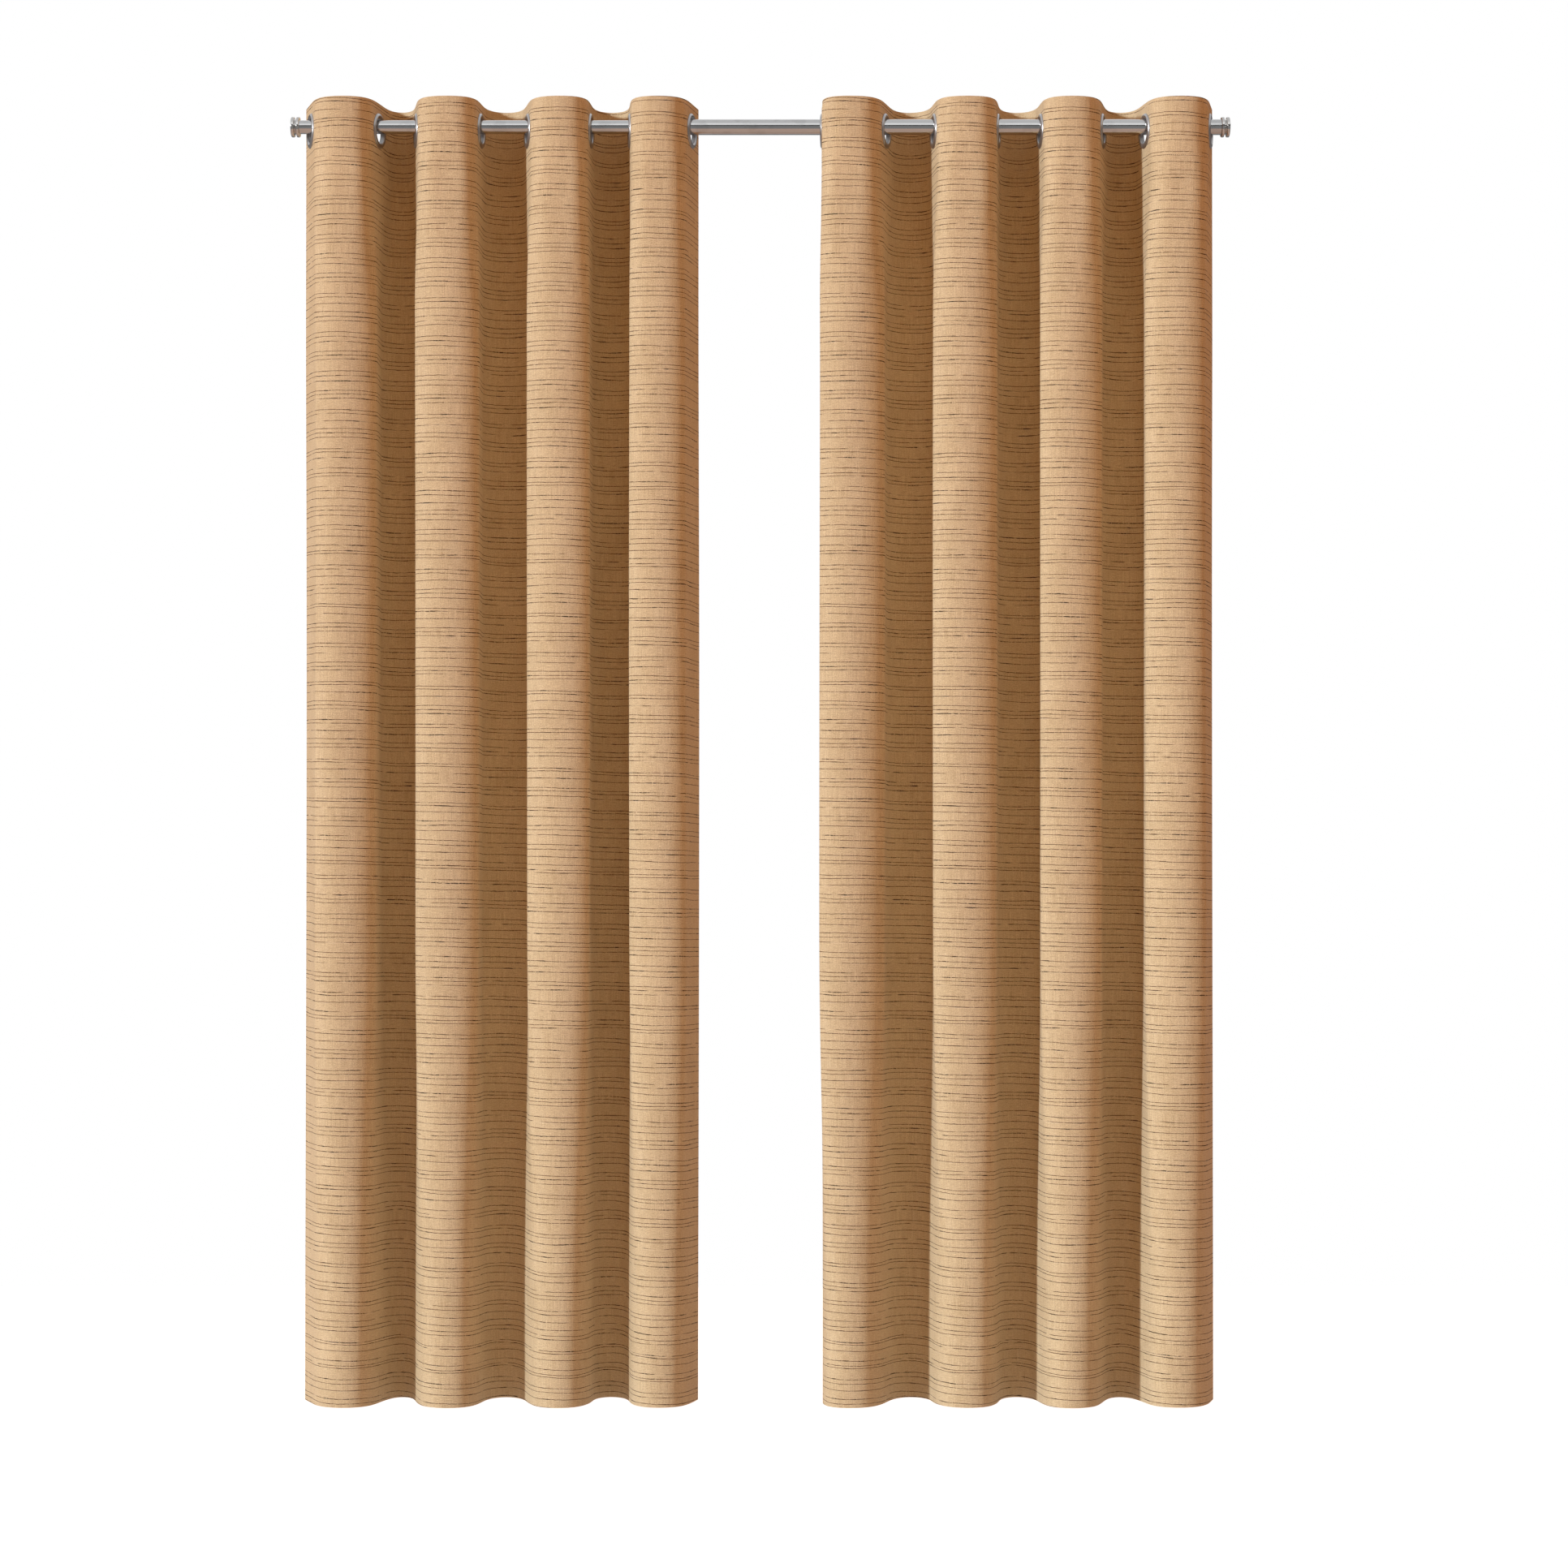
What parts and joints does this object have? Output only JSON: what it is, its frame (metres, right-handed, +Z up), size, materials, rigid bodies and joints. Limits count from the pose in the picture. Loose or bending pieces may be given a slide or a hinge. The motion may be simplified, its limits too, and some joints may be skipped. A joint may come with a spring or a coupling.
{
  "type": "window curtains on a rod",
  "caption": "Pair of grommet-top woven curtain panels hanging in soft folds on a telescoping metal wall rod with spool finials.",
  "frame": {"origin": "centre of the four wall screws, on the plane of the wall and level with the rod", "axes": "+X along the rod, -Y faces the room, +Y into the wall, +Z up"},
  "size_m": [1.5424, 0.1842, 2.1336],
  "materials": {
    "rod": "polished nickel plate",
    "finial": "polished nickel plate",
    "bracket": "satin nickel plate",
    "screw": "zinc plated",
    "grommet": "satin silver",
    "cloth": "golden slub weave"
  },
  "bodies": {
    "outer_rod": {"outer_tube": "rod", "right_wall_plate": "bracket", "right_bracket_arm": "bracket", "right_wall_screws": "screw"},
    "inner_rod": {"inner_tube": "rod", "left_wall_plate": "bracket", "left_bracket_arm": "bracket", "left_wall_screws": "screw"},
    "left_finial": {"left_finial": "finial"},
    "left_set_screw": {"left_set_screw": "bracket"},
    "left_fold_1": {"left_fold_1": "cloth", "left_ring_front_1": "grommet", "left_ring_back_1": "grommet"},
    "left_fold_2": {"left_fold_2": "cloth", "left_ring_front_2": "grommet", "left_ring_back_2": "grommet"},
    "left_fold_3": {"left_fold_3": "cloth", "left_ring_front_3": "grommet", "left_ring_back_3": "grommet"},
    "left_fold_4": {"left_fold_4": "cloth", "left_ring_front_4": "grommet", "left_ring_back_4": "grommet"},
    "left_fold_5": {"left_fold_5": "cloth", "left_ring_front_5": "grommet", "left_ring_back_5": "grommet"},
    "left_fold_6": {"left_fold_6": "cloth", "left_ring_front_6": "grommet", "left_ring_back_6": "grommet"},
    "left_fold_7": {"left_fold_7": "cloth", "left_ring_front_7": "grommet", "left_ring_back_7": "grommet"},
    "left_fold_8": {"left_fold_8": "cloth", "left_ring_front_8": "grommet", "left_ring_back_8": "grommet"},
    "right_finial": {"right_finial": "finial"},
    "right_set_screw": {"right_set_screw": "bracket"},
    "right_fold_1": {"right_fold_1": "cloth", "right_ring_front_1": "grommet", "right_ring_back_1": "grommet"},
    "right_fold_2": {"right_fold_2": "cloth", "right_ring_front_2": "grommet", "right_ring_back_2": "grommet"},
    "right_fold_3": {"right_fold_3": "cloth", "right_ring_front_3": "grommet", "right_ring_back_3": "grommet"},
    "right_fold_4": {"right_fold_4": "cloth", "right_ring_front_4": "grommet", "right_ring_back_4": "grommet"},
    "right_fold_5": {"right_fold_5": "cloth", "right_ring_front_5": "grommet", "right_ring_back_5": "grommet"},
    "right_fold_6": {"right_fold_6": "cloth", "right_ring_front_6": "grommet", "right_ring_back_6": "grommet"},
    "right_fold_7": {"right_fold_7": "cloth", "right_ring_front_7": "grommet", "right_ring_back_7": "grommet"},
    "right_fold_8": {"right_fold_8": "cloth", "right_ring_front_8": "grommet", "right_ring_back_8": "grommet"}
  },
  "joints": [
    {"name": "rod_telescope", "type": "slide", "parent": "outer_rod", "child": "inner_rod", "axis": [-1, 0, 0], "range_m": [0, 0.164]},
    {"name": "left_finial_pull", "type": "slide", "parent": "inner_rod", "child": "left_finial", "axis": [-1, 0, 0], "range_m": [0, 0.03]},
    {"name": "right_finial_pull", "type": "slide", "parent": "outer_rod", "child": "right_finial", "axis": [1, 0, 0], "range_m": [0, 0.03]},
    {"name": "left_set_screw_turn", "type": "hinge", "parent": "inner_rod", "child": "left_set_screw", "pos_m": [-0.7, -0.1, -0.02], "axis": [0, 0, 1], "continuous": true},
    {"name": "right_set_screw_turn", "type": "hinge", "parent": "outer_rod", "child": "right_set_screw", "pos_m": [0.7, -0.1, -0.02], "axis": [0, 0, 1], "continuous": true},
    {"name": "left_draw", "type": "hinge", "parent": "inner_rod", "child": "left_fold_1", "pos_m": [-0.737, -0.1, -0.0065], "axis": [0, 0, 1], "range_deg": [-16, 6.9]},
    {"name": "left_crest_1", "type": "hinge", "parent": "left_fold_1", "child": "left_fold_2", "pos_m": [-0.682, -0.155, -0.0065], "axis": [0, 0, 1], "range_deg": [-13.8, 32]},
    {"name": "left_crest_2", "type": "hinge", "parent": "left_fold_2", "child": "left_fold_3", "pos_m": [-0.5955, -0.034, -0.0065], "axis": [0, 0, 1], "range_deg": [-32, 13.8]},
    {"name": "left_crest_3", "type": "hinge", "parent": "left_fold_3", "child": "left_fold_4", "pos_m": [-0.512, -0.155, -0.0065], "axis": [0, 0, 1], "range_deg": [-13.8, 32]},
    {"name": "left_crest_4", "type": "hinge", "parent": "left_fold_4", "child": "left_fold_5", "pos_m": [-0.4205, -0.034, -0.0065], "axis": [0, 0, 1], "range_deg": [-32, 13.8]},
    {"name": "left_crest_5", "type": "hinge", "parent": "left_fold_5", "child": "left_fold_6", "pos_m": [-0.3305, -0.155, -0.0065], "axis": [0, 0, 1], "range_deg": [-13.8, 32]},
    {"name": "left_crest_6", "type": "hinge", "parent": "left_fold_6", "child": "left_fold_7", "pos_m": [-0.2465, -0.034, -0.0065], "axis": [0, 0, 1], "range_deg": [-32, 13.8]},
    {"name": "left_crest_7", "type": "hinge", "parent": "left_fold_7", "child": "left_fold_8", "pos_m": [-0.1635, -0.155, -0.0065], "axis": [0, 0, 1], "range_deg": [-13.8, 32]},
    {"name": "right_draw", "type": "hinge", "parent": "outer_rod", "child": "right_fold_1", "pos_m": [0.737, -0.1, -0.0065], "axis": [0, 0, -1], "range_deg": [-16, 6.7]},
    {"name": "right_crest_1", "type": "hinge", "parent": "right_fold_1", "child": "right_fold_2", "pos_m": [0.6845, -0.155, -0.0065], "axis": [0, 0, -1], "range_deg": [-13.4, 32]},
    {"name": "right_crest_2", "type": "hinge", "parent": "right_fold_2", "child": "right_fold_3", "pos_m": [0.5965, -0.034, -0.0065], "axis": [0, 0, -1], "range_deg": [-32, 13.4]},
    {"name": "right_crest_3", "type": "hinge", "parent": "right_fold_3", "child": "right_fold_4", "pos_m": [0.511, -0.155, -0.0065], "axis": [0, 0, -1], "range_deg": [-13.4, 32]},
    {"name": "right_crest_4", "type": "hinge", "parent": "right_fold_4", "child": "right_fold_5", "pos_m": [0.425, -0.034, -0.0065], "axis": [0, 0, -1], "range_deg": [-32, 13.4]},
    {"name": "right_crest_5", "type": "hinge", "parent": "right_fold_5", "child": "right_fold_6", "pos_m": [0.3375, -0.155, -0.0065], "axis": [0, 0, -1], "range_deg": [-13.4, 32]},
    {"name": "right_crest_6", "type": "hinge", "parent": "right_fold_6", "child": "right_fold_7", "pos_m": [0.2455, -0.034, -0.0065], "axis": [0, 0, -1], "range_deg": [-32, 13.4]},
    {"name": "right_crest_7", "type": "hinge", "parent": "right_fold_7", "child": "right_fold_8", "pos_m": [0.154, -0.155, -0.0065], "axis": [0, 0, -1], "range_deg": [-13.4, 32]}
  ],
  "couplings": [
    {"joint": "left_crest_1", "follows": "left_draw", "ratio": -2},
    {"joint": "left_crest_2", "follows": "left_draw", "ratio": 2},
    {"joint": "left_crest_3", "follows": "left_draw", "ratio": -2},
    {"joint": "left_crest_4", "follows": "left_draw", "ratio": 2},
    {"joint": "left_crest_5", "follows": "left_draw", "ratio": -2},
    {"joint": "left_crest_6", "follows": "left_draw", "ratio": 2},
    {"joint": "left_crest_7", "follows": "left_draw", "ratio": -2},
    {"joint": "right_crest_1", "follows": "right_draw", "ratio": -2},
    {"joint": "right_crest_2", "follows": "right_draw", "ratio": 2},
    {"joint": "right_crest_3", "follows": "right_draw", "ratio": -2},
    {"joint": "right_crest_4", "follows": "right_draw", "ratio": 2},
    {"joint": "right_crest_5", "follows": "right_draw", "ratio": -2},
    {"joint": "right_crest_6", "follows": "right_draw", "ratio": 2},
    {"joint": "right_crest_7", "follows": "right_draw", "ratio": -2}
  ]
}
